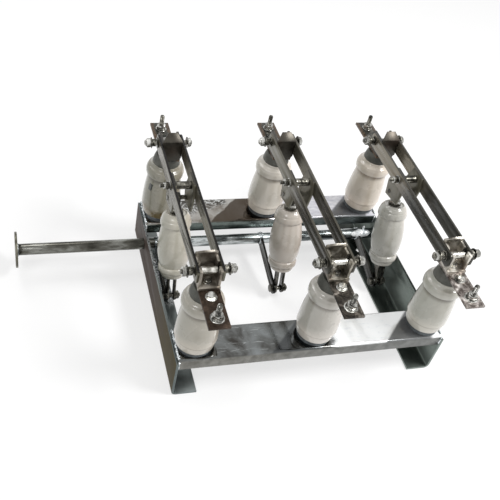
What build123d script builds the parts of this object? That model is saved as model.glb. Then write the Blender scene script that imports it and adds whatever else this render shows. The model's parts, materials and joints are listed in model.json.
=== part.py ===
"""Three-pole indoor knife disconnector on a welded steel frame.

Millimetres. The origin is the centre of the frame's four anchor holes, on the floor plane.
+X runs across the three phases, +Y from the jaw side to the hinge side, +Z is up.
The switch is drawn closed: every blade pair lies level from its hinge to its jaw.
"""
from build123d import *

import os
from math import atan2, cos, degrees, hypot, radians, sin

# ---------------------------------------------------------------- phases and main axes
phase_names = ["a", "b", "c"]
phase_spacing = 250.0
contact_span = 368.0          # jaw bolt to hinge bolt, level along Y
axis_rise = 23.0              # jaw and hinge bolts above the feet of the fixed contacts
post_offset = 6.0             # post axis, outward of the contact bolt

# ---------------------------------------------------------------- clearances
face_gap = 0.3                # flat faces of different bodies
pin_gap = 0.08                # radial, between a pin and its bore
shaft_gap = 0.5               # radial, between the shaft and its holes in the frame
screw_gap = 0.2               # radial, between a screw and its hole

# ---------------------------------------------------------------- welded frame
side_overhang = 36.0          # outer faces of the side members beyond the outer phases
member_length = 465.0
member_height = 97.0
member_flange = 52.0
member_thick = 5.0
member_bend = 11.0            # outer radius of the bend
rail_width = 80.0
rail_depth = 26.5
rail_thick = 4.0
rail_bend = 6.0
rail_top = 105.0
anchor_hole = 14.0            # diameter
anchor_inset = 26.0           # hole axis from the outer face of the side member
anchor_place = 130.0          # Y of the hole axes

# ---------------------------------------------------------------- post insulators
post_base_radius = 37.5
post_base_height = 12.0
porcelain_height = 130.0
post_foot_radius = 36.5
post_body_radius = 40.0
post_neck_radius = 35.0
post_ring_radius = 40.5
post_top_radius = 35.5
post_foot_height = 14.0       # up to the cast line round the body
post_waist_swell = 4.2        # radius at half height, beyond the neck
post_ring_height = 19.0
post_ring_roll = 2.5          # rounding of the ring's lower edge
post_shoulder = 7.0           # from the top of the ring to the top face
post_neck_flare = 3.0         # height of the flare under the ring
glaze_edge = 1.5              # small rounded edges of the porcelain
base_edge = 2.0               # bevel round the top of each base
cap_height = 25.0
cap_low_radius = 33.0
cap_top_radius = 24.0
cap_rim = 3.0                 # upright rim round the foot of the cap
cap_swell = 1.5               # of the conical side, outward

# ---------------------------------------------------------------- terminals and fixed contacts
terminal_width = 40.0
terminal_thick = 5.0
terminal_reach = 109.0        # from the contact bolt outward to the free end
contact_width = 42.0          # over the outer faces of the ears
contact_thick = 5.0
contact_bend = 2.0            # outer radius where the ears turn up
foot_reach = 23.0             # outward of the contact bolt
ear_half_length = 19.0        # along Y, each side of the bolt
ear_rise = 14.0               # above the bolt
guard_thick = 4.0
guard_inner = 27.0            # inner face of the guard plate, inward of the bolt
guard_rise = 20.0             # top of the upright part, above the bolt
guard_drop = 27.0             # bottom of the upright part, below the bolt
guard_corner = 7.0
tab_length = 20.0
tab_lean = 40.0               # degrees from upright
tab_top_width = 19.0
notch_width = 13.0            # slot for the clamp bolt in each jaw ear

# ---------------------------------------------------------------- blades
blade_depth = 31.0
blade_thick = 4.5
blade_tip = 20.0              # beyond the jaw bolt
blade_heel = 13.0             # beyond the hinge bolt
blade_corner = 9.0
spacer_place = 46.0           # Y of the middle spacer bolt
plate_thick = 4.0
plate_foot = [(19.0, 19.0), (11.0, -14.0), (-40.0, -5.0), (-47.0, 42.0)]
                              # lower corners about the pull pin, rear to front, as (Y, Z)
plate_head = [-39.0, 1.0]     # front and rear corners on the blade's top edge, about the pin

# ---------------------------------------------------------------- bolts
clamp_radius = 5.0
clamp_reach = 55.0            # from the middle of the blade pair to either end
sleeve_radius = 6.5
washer_radius = 10.5
washer_thick = 2.0
spring_radius = 8.5
spring_length = 11.0
spring_turns = 4
spring_wire = 0.62            # share of the pitch taken by the wire
spring_core = 0.8             # inner to outer radius of the spring
cup_radius = 11.5
cup_thick = 2.5
nut_flats = 17.0
nut_height = 8.0
spacer_radius = 8.0
spacer_reach = 20.0           # thread standing out of the left blade
thin_nut_height = 6.5
thread_over = 3.0             # thread standing out of a thin nut
pull_pin_over = 1.0           # pull pin standing out of each plate
stud_radius = 6.0
stud_rise = 34.0              # above the terminal
stud_washer_radius = 12.0
stud_nut_flats = 19.0
stud_nut_height = 10.0
stud_head_height = 8.0
stud_place = 87.0             # outward of the contact bolt
link_bolt_radius = 4.0
link_head_flats = 13.0
link_head_height = 5.5
link_washer_radius = 8.8
thin_washer = 1.5
link_bolt_place = 39.0        # outward of the contact bolt
foot_screw_radius = 5.0
foot_screw_depth = 14.0       # into the post cap
foot_head_flats = 13.6
foot_washer_radius = 8.0
foot_head_height = 5.5
link_bolt_under = 2.0         # end of the link bolt, below the terminal

# ---------------------------------------------------------------- linkage, as (Y, Z) points
shaft_place = (136.0, 58.7)
crank_pin_place = (4.0, 28.0)
pull_pin_y = 66.0
pull_pin_drop = 49.0          # below the jaw and hinge bolts
pin_radius = 5.0
open_pivot_gap = 2.2          # radial, crank pin in the fork: takes up the linkage error
shaft_radius = 12.5
shaft_left = 565.0            # from the middle phase to the flange face
shaft_stub = 4.0              # beyond the right side member
flange_radius = 39.0
flange_thick = 5.0
crank_thick = 5.0
crank_depth = 24.0
crank_eye = 13.0
fork_gap = 11.0               # between the two fork strips
fork_thick = 3.5
fork_depth = 18.0
fork_eye = 11.0
fork_plate_thick = 3.0
fork_plate_radius = 19.0
lug_thick = 8.0
lug_depth = 20.0
lug_eye = 11.0
lug_disc_radius = 14.0
lug_disc_thick = 3.0

# ---------------------------------------------------------------- pull-rod insulators
rod_foot = 60.0               # from the crank pin to the foot of the porcelain
rod_length = 143.0
rod_ring_radius = 31.0
rod_barrel_radius = 35.0
rod_neck_radius = 29.0
rod_foot_radius = 23.0
rod_top_radius = 17.0
rod_bead = 3.5                # swell of the foot bead
rod_bead_height = 11.0
rod_low_ring = 17.5           # widest place of the lower ring, above the foot
rod_low_ring_top = 25.0
rod_groove = 3.0              # depth of the groove above the lower ring
rod_high_ring = 113.0         # underside of the upper ring, above the foot
rod_high_ring_height = 12.0
rod_ring_flare = 2.5          # slope under the upper ring
rod_shoulder_step = 2.0       # last small step round the top

# ---------------------------------------------------------------- derived places
phase_x = [(i - (len(phase_names) - 1) / 2) * phase_spacing for i in range(len(phase_names))]
contact_y = contact_span / 2
post_y = contact_y + post_offset
member_outer = phase_x[-1] + side_overhang
member_inner = member_outer - member_thick
anchor_x = member_outer - anchor_inset
porcelain_floor = rail_top + post_base_height
cap_floor = porcelain_floor + porcelain_height
terminal_floor = cap_floor + cap_height
terminal_top = terminal_floor + terminal_thick
foot_top = terminal_top + contact_thick
axis_height = foot_top + axis_rise
rod_pin_place = (pull_pin_y, axis_height - pull_pin_drop)
ear_outer = contact_width / 2
ear_inner = ear_outer - contact_thick
blade_inner = ear_outer + face_gap
blade_outer = blade_inner + blade_thick
plate_inner = blade_inner - plate_thick
blade_top = axis_height + blade_depth / 2
blade_bottom = axis_height - blade_depth / 2
rod_span = hypot(rod_pin_place[0] - crank_pin_place[0], rod_pin_place[1] - crank_pin_place[1])
rod_tilt = degrees(atan2(rod_pin_place[1] - crank_pin_place[1], rod_pin_place[0] - crank_pin_place[0]))
fork_outer = fork_gap / 2 + fork_thick
crank_face = -fork_outer - face_gap          # the face of the crank next to the fork

os.makedirs("parts", exist_ok=True)


def save(piece, name):
    """Label a finished piece and write its STEP file."""
    piece.part.label = name
    export_step(piece.part, f"parts/{name}.step")


def side_plane(x, y=0.0, z=0.0):
    """A plane whose local X is world Y and local Y is world Z, with its normal along +X."""
    return Plane(origin=(x, y, z), x_dir=(0, 1, 0), z_dir=(1, 0, 0))


def rod_plane(x):
    """A plane on the crank pin whose local Z runs up the pull rod and local X along world X."""
    up = (0, cos(radians(rod_tilt)), sin(radians(rod_tilt)))
    return Plane(origin=(x, *crank_pin_place), x_dir=(1, 0, 0), z_dir=up)


# ================================================================ welded frame
def side_member(hand):
    """Bent angle: an upright web with the shaft hole, and a bottom flange with anchor holes."""
    with BuildPart() as member:
        with BuildSketch(Plane.XZ.offset(-member_length / 2)) as section:
            with BuildLine():
                Polyline((member_outer, 0), (member_outer, member_height),
                         (member_inner, member_height), (member_inner, member_thick),
                         (member_outer - member_flange, member_thick),
                         (member_outer - member_flange, 0), close=True)
            make_face()
            heel = section.vertices().sort_by_distance((member_outer, 0))[0]
            fillet(heel, member_bend)
            root = section.vertices().sort_by_distance((member_inner, member_thick))[0]
            fillet(root, member_bend - member_thick)
        extrude(amount=member_length)
        with Locations(Plane(origin=(member_outer, *shaft_place), z_dir=(1, 0, 0))):
            Hole(shaft_radius + shaft_gap)
        with Locations((anchor_x, anchor_place, member_thick),
                       (anchor_x, -anchor_place, member_thick)):
            Hole(anchor_hole / 2)
        if hand < 0:
            mirror(about=Plane.YZ, mode=Mode.REPLACE)
    return member


def cross_rail(side):
    """Inverted channel between the side members, as long as the gap between their webs."""
    middle = side * post_y
    with BuildPart() as rail:
        with BuildSketch(Plane.YZ.offset(-member_inner)) as section:
            with Locations((middle, rail_top - rail_depth / 2)):
                Rectangle(rail_width, rail_depth)
            fillet(section.vertices().group_by(Axis.Y)[-1], rail_bend)
            with BuildSketch(mode=Mode.SUBTRACT) as hollow:
                with Locations((middle, rail_top - rail_thick - rail_depth / 2)):
                    Rectangle(rail_width - 2 * rail_thick, rail_depth)
                fillet(hollow.vertices().group_by(Axis.Y)[-1], rail_bend - rail_thick)
        extrude(amount=2 * member_inner)
    return rail


# ================================================================ insulators
def post_places():
    """Axis of every post, front row first."""
    return [(x, side * post_y) for side in (-1, 1) for x in phase_x]


def post_plane(x, y, z):
    """A plane through a post axis whose local X is the radius and local Y the height."""
    return Plane(origin=(x, y, z), x_dir=(1, 0, 0), z_dir=(0, -1, 0))


def post_insulator(x, y):
    """Porcelain post: foot with a cast line, tapering body, neck and one rounded ring."""
    ring_top = porcelain_height - post_shoulder
    ring_low = ring_top - post_ring_height
    neck = ring_low - post_neck_flare
    line = post_foot_height
    edge = glaze_edge
    with BuildPart() as porcelain:
        with BuildSketch(post_plane(x, y, porcelain_floor)):
            with BuildLine():
                Polyline((0, 0), (post_foot_radius - edge, 0), (post_foot_radius, edge),
                         (post_body_radius - edge, line), (post_body_radius, line + edge))
                ThreePointArc((post_body_radius, line + edge),
                              (post_neck_radius + post_waist_swell, (line + neck) / 2),
                              (post_neck_radius, neck))
                Polyline((post_neck_radius, neck), (post_ring_radius - post_ring_roll, ring_low))
                ThreePointArc((post_ring_radius - post_ring_roll, ring_low),
                              (post_ring_radius, (ring_low + ring_top) / 2),
                              (post_ring_radius - edge, ring_top))
                Polyline((post_ring_radius - edge, ring_top), (post_top_radius, porcelain_height),
                         (0, porcelain_height), (0, 0))
            make_face()
        revolve(axis=Axis((x, y, 0), (0, 0, 1)))
    return porcelain


def post_bases():
    """Round iron bases cemented under the porcelain, standing on the rails."""
    with BuildPart() as bases:
        for x, y in post_places():
            with BuildSketch(Plane.XY.offset(rail_top)):
                with Locations((x, y)):
                    Circle(post_base_radius)
            extrude(amount=post_base_height)
            top_rim = bases.edges().filter_by(GeomType.CIRCLE).group_by(Axis.Z)[-1]
            chamfer(top_rim.sort_by_distance((x, y, porcelain_floor))[0], base_edge)
    return bases


def post_caps():
    """Conical iron caps on the porcelain, each tapped for the screw through the contact foot."""
    with BuildPart() as caps:
        for x, y in post_places():
            with BuildSketch(post_plane(x, y, cap_floor)):
                with BuildLine():
                    Polyline((0, 0), (cap_low_radius, 0), (cap_low_radius, cap_rim))
                    ThreePointArc((cap_low_radius, cap_rim),
                                  ((cap_low_radius + cap_top_radius) / 2 + cap_swell,
                                   (cap_height + cap_rim) / 2),
                                  (cap_top_radius, cap_height))
                    Polyline((cap_top_radius, cap_height), (0, cap_height), (0, 0))
                make_face()
            revolve(axis=Axis((x, y, 0), (0, 0, 1)))
            with Locations((x, y, terminal_floor)):
                Hole(foot_screw_radius + screw_gap, depth=foot_screw_depth + screw_gap)
    return caps


# ================================================================ terminals and fixed contacts
def terminals():
    """Flat connection bars under the contact feet, drilled for the screw, link bolt and stud."""
    with BuildPart() as bars:
        for x in phase_x:
            for side in (-1, 1):
                inner = side * (contact_y - guard_inner + guard_thick)
                outer = side * (contact_y + terminal_reach)
                with BuildSketch(Plane.XY.offset(terminal_floor)):
                    with Locations((x, (inner + outer) / 2)):
                        Rectangle(terminal_width, abs(outer - inner))
                    with Locations((x, side * post_y)):
                        Circle(foot_screw_radius + screw_gap, mode=Mode.SUBTRACT)
                    with Locations((x, side * (contact_y + link_bolt_place))):
                        Circle(link_bolt_radius + screw_gap, mode=Mode.SUBTRACT)
                    with Locations((x, side * (contact_y + stud_place))):
                        Circle(stud_radius + screw_gap, mode=Mode.SUBTRACT)
                extrude(amount=terminal_thick)
    return bars


def fixed_contact(x, side):
    """Bent copper contact: a foot, two ears inside the blades and an upright guard with a tab.

    side is -1 for a jaw, whose ears are slotted for the clamp bolt, and 1 for a hinge.
    """
    guard_face = contact_y - guard_inner
    with BuildPart() as contact:
        # foot and ears, as a channel along Y
        with BuildSketch(Plane.XZ.offset(-(contact_y + ear_half_length))) as channel:
            with Locations((x, (terminal_top + axis_height + ear_rise) / 2)):
                Rectangle(contact_width, axis_height + ear_rise - terminal_top)
            lip = channel.vertices().group_by(Axis.Y)[0]
            fillet(lip, contact_bend)
            with Locations((x, (foot_top + axis_height + ear_rise) / 2)):
                Rectangle(2 * ear_inner, axis_height + ear_rise - foot_top, mode=Mode.SUBTRACT)
        extrude(amount=contact_y + ear_half_length - guard_face - guard_thick)
        # foot carried on outward
        with BuildSketch(Plane.XY.offset(terminal_top)):
            foot_start = ear_half_length - contact_bend
            with Locations((x, contact_y + (foot_reach + foot_start) / 2)):
                Rectangle(contact_width, foot_reach - foot_start)
        extrude(amount=contact_thick)
        # guard plate across the inner end, standing down over the end of the terminal
        with BuildSketch(Plane.XZ.offset(-guard_face - guard_thick)) as guard:
            with Locations((x, axis_height + (guard_rise - guard_drop) / 2)):
                Rectangle(contact_width, guard_rise + guard_drop)
            chamfer(guard.vertices().group_by(Axis.Y)[0], guard_corner)
        extrude(amount=guard_thick)
        # tab leaning outward from the top of the guard
        lean = radians(tab_lean)
        tab_base = Plane(origin=(x, guard_face, axis_height + guard_rise), x_dir=(1, 0, 0),
                         z_dir=(0, sin(lean), cos(lean)))
        with BuildSketch(tab_base):
            with BuildLine():
                Polyline((-ear_outer, 0), (ear_outer, 0), (ear_outer, guard_thick),
                         (-ear_outer, guard_thick), close=True)
            make_face()
        with BuildSketch(tab_base.offset(tab_length)):
            with BuildLine():
                Polyline((-tab_top_width / 2, 0), (tab_top_width / 2, 0),
                         (tab_top_width / 2, guard_thick), (-tab_top_width / 2, guard_thick),
                         close=True)
            make_face()
        loft()
        # foot screw hole and the clamp bolt's hole or slot
        with Locations((x, post_y, foot_top)):
            Hole(foot_screw_radius + screw_gap, depth=contact_thick)
        with BuildSketch(side_plane(x - ear_outer)):
            with Locations((contact_y, axis_height)):
                Circle(clamp_radius + pin_gap if side > 0 else notch_width / 2)
            if side < 0:
                with Locations((contact_y, axis_height + ear_rise)):
                    Rectangle(notch_width, 2 * ear_rise)
        extrude(amount=contact_width, mode=Mode.SUBTRACT)
        if side < 0:
            mirror(about=Plane.XZ, mode=Mode.REPLACE)
    return contact


def hexagon(place, flats, height):
    """A hexagonal head or nut standing on a plane, added to the piece being built."""
    with BuildSketch(place) as shape:
        RegularPolygon(flats / 2, 6, major_radius=False)
    extrude(shape.sketch, amount=height)


def disc(place, radius, height):
    """A plain round disc or shank standing on a plane, added to the piece being built."""
    with BuildSketch(place) as shape:
        Circle(radius)
    extrude(shape.sketch, amount=height)


def terminal_bolts(side):
    """Per phase: the screw through the contact foot, the link bolt and the terminal stud."""
    with BuildPart() as bolts:
        for x in phase_x:
            screw = Plane((x, side * post_y, 0))
            disc(screw.offset(terminal_floor - foot_screw_depth), foot_screw_radius,
                 foot_screw_depth + terminal_thick + contact_thick)
            disc(screw.offset(foot_top), foot_washer_radius, thin_washer)
            hexagon(screw.offset(foot_top + thin_washer), foot_head_flats, foot_head_height)
            link = Plane((x, side * (contact_y + link_bolt_place), 0))
            disc(link.offset(terminal_floor - link_bolt_under), link_bolt_radius,
                 terminal_thick + link_bolt_under)
            disc(link.offset(terminal_top), link_washer_radius, thin_washer)
            hexagon(link.offset(terminal_top + thin_washer), link_head_flats, link_head_height)
            stud = Plane((x, side * (contact_y + stud_place), 0))
            hexagon(stud.offset(terminal_floor - stud_head_height), stud_nut_flats,
                      stud_head_height)
            disc(stud.offset(terminal_floor), stud_radius, terminal_thick + stud_rise)
            disc(stud.offset(terminal_top), stud_washer_radius, cup_thick)
            hexagon(stud.offset(terminal_top + cup_thick), stud_nut_flats, stud_nut_height)
    return bolts


# ================================================================ blades
def blade_pair(x):
    """Two parallel copper strips with rounded ends, drilled for three bolts."""
    with BuildPart() as blades:
        with BuildSketch(side_plane(x + blade_inner)) as outline:
            front = -contact_y - blade_tip
            back = contact_y + blade_heel
            with Locations(((front + back) / 2, axis_height)):
                Rectangle(back - front, blade_depth)
            fillet(outline.vertices(), blade_corner)
            with Locations((-contact_y, axis_height), (contact_y, axis_height)):
                Circle(clamp_radius + pin_gap, mode=Mode.SUBTRACT)
            with Locations((spacer_place, axis_height)):
                Circle(link_bolt_radius + pin_gap, mode=Mode.SUBTRACT)
        extrude(amount=blade_thick)
        mirror(about=Plane.YZ.offset(x))
    return blades


def pull_plates(x):
    """Two six-sided plates inside the blades, which carry the pull rod's upper pin."""
    pin_y, pin_z = rod_pin_place
    with BuildPart() as plates:
        with BuildSketch(side_plane(x + plate_inner)):
            with BuildLine():
                Polyline(*[(pin_y + along, pin_z + up) for along, up in plate_foot],
                         *[(pin_y + along, blade_top) for along in plate_head], close=True)
            make_face()
            with Locations((pin_y, pin_z)):
                Circle(pin_radius + pin_gap, mode=Mode.SUBTRACT)
            with Locations((spacer_place, axis_height)):
                Circle(link_bolt_radius + pin_gap, mode=Mode.SUBTRACT)
        extrude(amount=plate_thick)
        mirror(about=Plane.YZ.offset(x))
    return plates


def clamp_bolt(x, y):
    """Half a spring clamp from the middle of the blades outward, mirrored into a whole one.

    It has a sleeve between the contact ears, and outside each blade a washer, a coil spring,
    a cup washer and a nut.
    """
    seat = side_plane(x, y, axis_height)
    disc(seat, sleeve_radius, ear_inner - face_gap)
    disc(seat, clamp_radius, clamp_reach)
    station = blade_outer
    disc(seat.offset(station), washer_radius, washer_thick)
    station += washer_thick
    pitch = spring_length / spring_turns
    for turn in range(spring_turns):
        disc(seat.offset(station + turn * pitch), spring_radius, pitch * spring_wire)
        disc(seat.offset(station + turn * pitch), spring_radius * spring_core, pitch)
    station += spring_length
    disc(seat.offset(station), cup_radius, cup_thick)
    station += cup_thick
    hexagon(seat.offset(station), nut_flats, nut_height)
    mirror(about=Plane.YZ.offset(x))


def spacer_bolt(x):
    """Bolt through blades and plates, flush on the right, with a spacer tube and a left-hand nut."""
    seat = side_plane(x, spacer_place, axis_height)
    disc(seat.offset(-blade_outer - spacer_reach), link_bolt_radius, spacer_reach + 2 * blade_outer)
    disc(seat.offset(-blade_outer - thin_washer), link_washer_radius, thin_washer)
    hexagon(seat.offset(-blade_outer - thin_washer - thin_nut_height), link_head_flats,
            thin_nut_height)
    disc(seat.offset(-plate_inner), spacer_radius, 2 * plate_inner)


def blade_bolts(x):
    """The jaw clamp, the hinge clamp, the middle spacer bolt and the pull pin of one phase."""
    with BuildPart() as jaw_clamp:
        clamp_bolt(x, -contact_y)
    with BuildPart() as hinge_clamp:
        clamp_bolt(x, contact_y)
    with BuildPart() as spacer:
        spacer_bolt(x)
    with BuildPart() as pull_pin:
        half_pin = blade_inner + pull_pin_over
        disc(side_plane(x - half_pin, *rod_pin_place), pin_radius, 2 * half_pin)
    with BuildPart() as together:
        add(jaw_clamp.part)
        add(hinge_clamp.part)
        add(spacer.part)
        add(pull_pin.part)
    return together


# ================================================================ pull rods
def rod_insulator(x):
    """Porcelain pull-rod insulator: stepped foot, foot ring, barrel, neck, ring and shoulder."""
    place = rod_plane(x)
    up = place.z_dir
    profile = Plane(origin=place.origin + up * rod_foot, x_dir=(1, 0, 0),
                    z_dir=Vector(1, 0, 0).cross(up))
    rim = rod_high_ring + rod_high_ring_height
    with BuildPart() as porcelain:
        with BuildSketch(profile):
            with BuildLine():
                Polyline((0, 0), (rod_foot_radius - glaze_edge, 0))
                ThreePointArc((rod_foot_radius - glaze_edge, 0),
                              (rod_foot_radius + rod_bead, rod_bead_height / 2),
                              (rod_foot_radius + rod_bead - glaze_edge, rod_bead_height))
                ThreePointArc((rod_foot_radius + rod_bead - glaze_edge, rod_bead_height),
                              (rod_ring_radius, rod_low_ring),
                              (rod_ring_radius - rod_groove, rod_low_ring_top))
                ThreePointArc((rod_ring_radius - rod_groove, rod_low_ring_top),
                              (rod_barrel_radius, (rod_low_ring_top + rod_high_ring) / 2),
                              (rod_neck_radius, rod_high_ring))
                Polyline((rod_neck_radius, rod_high_ring),
                         (rod_ring_radius, rod_high_ring + rod_ring_flare))
                ThreePointArc((rod_ring_radius, rod_high_ring + rod_ring_flare),
                              (rod_ring_radius + glaze_edge, (rod_high_ring + rim) / 2),
                              (rod_ring_radius - glaze_edge, rim))
                Polyline((rod_ring_radius - glaze_edge, rim),
                         (rod_top_radius + rod_shoulder_step, rod_length - glaze_edge),
                         (rod_top_radius, rod_length), (0, rod_length), (0, 0))
            make_face()
        revolve(axis=Axis(place.origin, up))
    return porcelain


def rod_fork(x):
    """Two flat strips under a round plate, straddling the crank pin with an open pivot."""
    place = rod_plane(x)
    strip_top = rod_foot - fork_plate_thick
    with BuildPart() as fork:
        for hand in (-1, 1):
            inner = hand * fork_gap / 2
            with BuildSketch(Plane(origin=place.origin + Vector(inner, 0, 0),
                                   x_dir=Vector(1, 0, 0).cross(place.z_dir) * -1,
                                   z_dir=(1, 0, 0))):
                with Locations((0, strip_top / 2)):
                    Rectangle(fork_depth, strip_top)
                Circle(fork_eye)
                Circle(pin_radius + open_pivot_gap, mode=Mode.SUBTRACT)
            extrude(amount=hand * fork_thick)
        disc(place.offset(strip_top), fork_plate_radius, fork_plate_thick)
    return fork


def rod_lug(x):
    """Flat eye on a round foot, standing on the porcelain and hung from the pull pin."""
    place = rod_plane(x)
    foot = rod_foot + rod_length
    with BuildPart() as lug:
        disc(place.offset(foot), lug_disc_radius, lug_disc_thick)
        with BuildSketch(Plane(origin=place.origin + Vector(-lug_thick / 2, 0, 0),
                               x_dir=Vector(1, 0, 0).cross(place.z_dir) * -1, z_dir=(1, 0, 0))):
            with Locations((0, (foot + lug_disc_thick + rod_span) / 2)):
                Rectangle(lug_depth, rod_span - foot - lug_disc_thick)
            with Locations((0, rod_span)):
                Circle(lug_eye)
                Circle(pin_radius + pin_gap, mode=Mode.SUBTRACT)
        extrude(amount=lug_thick)
    return lug


# ================================================================ operating shaft
def operating_shaft():
    """Round bar through both side members, carried on to the left for the drive."""
    left = -shaft_left + flange_thick
    with BuildPart() as shaft:
        disc(side_plane(left, *shaft_place), shaft_radius, member_outer + shaft_stub - left)
    return shaft


def shaft_flange():
    """Round coupling flange across the left end of the shaft."""
    with BuildPart() as flange:
        disc(side_plane(-shaft_left, *shaft_place), flange_radius, flange_thick)
    return flange


def cranks():
    """Flat bars welded to the shaft, one beside each pull-rod fork."""
    pin_y, pin_z = crank_pin_place
    reach = hypot(shaft_place[0] - pin_y, shaft_place[1] - pin_z)
    slope = degrees(atan2(shaft_place[1] - pin_z, shaft_place[0] - pin_y))
    with BuildPart() as arms:
        for x in phase_x:
            with BuildSketch(side_plane(x + crank_face - crank_thick)):
                with Locations(Location((pin_y, pin_z, 0), slope)):
                    with Locations((reach / 2, 0)):
                        Rectangle(reach, crank_depth)
                    Circle(crank_eye)
                    Circle(pin_radius + pin_gap, mode=Mode.SUBTRACT)
                    with Locations((reach, 0)):
                        Circle(shaft_radius + pin_gap, mode=Mode.SUBTRACT)
            extrude(amount=crank_thick)
    return arms


def crank_pins():
    """Bolts through the cranks and forks, with the head on the crank side."""
    with BuildPart() as pins:
        for x in phase_x:
            seat = side_plane(x, *crank_pin_place)
            head = crank_face - crank_thick
            nut = fork_outer + face_gap
            end = nut + washer_thick + thin_nut_height + thread_over
            disc(seat.offset(head), pin_radius, end - head)
            hexagon(seat.offset(head - thin_nut_height), nut_flats, thin_nut_height)
            disc(seat.offset(nut), washer_radius, washer_thick)
            hexagon(seat.offset(nut + washer_thick), nut_flats, thin_nut_height)
    return pins


# ================================================================ build and save
save(side_member(-1), "side_member_left")
save(side_member(1), "side_member_right")
save(cross_rail(-1), "front_rail")
save(cross_rail(1), "rear_rail")
save(post_bases(), "post_bases")
save(post_caps(), "post_caps")
save(terminals(), "terminals")
save(operating_shaft(), "operating_shaft")
save(shaft_flange(), "shaft_flange")
save(cranks(), "cranks")
save(crank_pins(), "crank_pins")

for side, row, role in ((-1, "front", "jaw"), (1, "rear", "hinge")):
    save(terminal_bolts(side), f"terminal_bolts_{row}")
    for phase, x in zip(phase_names, phase_x):
        save(post_insulator(x, side * post_y), f"post_{row}_{phase}")
        save(fixed_contact(x, side), f"{role}_contact_{phase}")

for phase, x in zip(phase_names, phase_x):
    save(blade_pair(x), f"blade_pair_{phase}")
    save(pull_plates(x), f"pull_plates_{phase}")
    save(blade_bolts(x), f"blade_bolts_{phase}")
    save(rod_insulator(x), f"rod_insulator_{phase}")
    save(rod_fork(x), f"rod_fork_{phase}")
    save(rod_lug(x), f"rod_lug_{phase}")
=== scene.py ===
import json
import math

import bmesh
import bpy
from mathutils import Matrix, Vector, noise


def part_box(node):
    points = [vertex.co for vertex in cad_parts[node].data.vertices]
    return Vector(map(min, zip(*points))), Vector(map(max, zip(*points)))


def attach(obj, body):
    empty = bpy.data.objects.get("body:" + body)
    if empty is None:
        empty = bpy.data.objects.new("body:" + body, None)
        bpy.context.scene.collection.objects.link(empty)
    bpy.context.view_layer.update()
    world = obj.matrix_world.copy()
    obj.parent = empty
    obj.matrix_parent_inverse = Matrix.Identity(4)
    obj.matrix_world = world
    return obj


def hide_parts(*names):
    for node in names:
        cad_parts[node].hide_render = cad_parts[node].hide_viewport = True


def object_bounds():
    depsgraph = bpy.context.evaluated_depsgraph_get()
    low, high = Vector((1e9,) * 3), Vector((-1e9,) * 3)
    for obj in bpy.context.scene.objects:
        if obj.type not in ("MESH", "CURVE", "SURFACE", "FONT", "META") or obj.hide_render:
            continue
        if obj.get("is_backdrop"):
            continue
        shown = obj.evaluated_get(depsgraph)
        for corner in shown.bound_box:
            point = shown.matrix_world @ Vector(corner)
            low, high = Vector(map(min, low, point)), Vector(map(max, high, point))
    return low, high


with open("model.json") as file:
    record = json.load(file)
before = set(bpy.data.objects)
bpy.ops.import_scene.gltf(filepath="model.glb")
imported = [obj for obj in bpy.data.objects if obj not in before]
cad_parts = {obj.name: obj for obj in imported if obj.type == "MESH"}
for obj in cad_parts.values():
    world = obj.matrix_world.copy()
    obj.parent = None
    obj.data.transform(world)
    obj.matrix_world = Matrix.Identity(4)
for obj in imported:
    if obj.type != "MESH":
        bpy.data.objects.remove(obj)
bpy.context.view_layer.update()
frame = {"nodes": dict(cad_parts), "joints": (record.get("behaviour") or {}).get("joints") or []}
NODES = frame["nodes"]
PHASES = "abc"
SIDES = {"front": -1, "rear": 1}
POSTS = [(row, phase) for row in SIDES for phase in PHASES]
JOINT = {j["name"]: Vector(j["pos_m"]) for j in frame["joints"]}


# ---- small helpers
def mid(node):
    """The middle of a CAD node's box."""
    low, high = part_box(node)
    return (low + high) / 2


def finish_piece(obj, name, body, material, replaces=()):
    """Names a new piece, gives it its material and makes it ride on its body."""
    obj.name = name
    obj.data.name = name
    obj.data.materials.clear()
    obj.data.materials.append(material)
    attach(obj, body)
    if replaces:
        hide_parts(*replaces)
    return obj


def to_object(bm, name):
    """Turns a bmesh into a linked object with its normals outward."""
    mesh = bpy.data.meshes.new(name)
    bmesh.ops.recalc_face_normals(bm, faces=bm.faces)
    bm.to_mesh(mesh)
    bm.free()
    obj = bpy.data.objects.new(name, mesh)
    bpy.context.scene.collection.objects.link(obj)
    return obj


def smooth(obj, angle=35):
    """Smooth shading with sharp edges kept above an angle."""
    mesh = obj.data
    for face in mesh.polygons:
        face.use_smooth = True
    bm = bmesh.new()
    bm.from_mesh(mesh)
    for edge in bm.edges:
        edge.smooth = not (len(edge.link_faces) == 2
                           and edge.calc_face_angle(0) > math.radians(angle))
    bm.to_mesh(mesh)
    bm.free()
    return obj


def finish_mesh(bm, angle, name, body, material, replaces=()):
    """Turns a bmesh into a finished piece, smooth below an angle."""
    return finish_piece(smooth(to_object(bm, name), angle), name, body, material, replaces)


def axes_frame(place, along):
    """A matrix whose Z runs along a direction, at a place."""
    turn = Vector(along).normalized().to_track_quat("Z", "Y").to_matrix().to_4x4()
    return Matrix.Translation(Vector(place)) @ turn


def skin(bm, rings, closed=False):
    """Joins neighbouring rings of equal length; closed also joins the last to the first."""
    following = rings[1:] + rings[:1] if closed else rings[1:]
    for low, high in zip(rings, following):
        count = len(low)
        for k in range(count):
            n = (k + 1) % count
            bm.faces.new((low[k], low[n], high[n], high[k]))


def ring_at(bm, matrix, steps, spot):
    """One closed ring; spot gives the point in local coordinates at each angle."""
    return [bm.verts.new(matrix @ Vector(spot(2 * math.pi * k / steps))) for k in range(steps)]


def round_at(radius, height):
    """The spot function of a plain circle."""
    return lambda a: (radius * math.cos(a), radius * math.sin(a), height)


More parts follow.
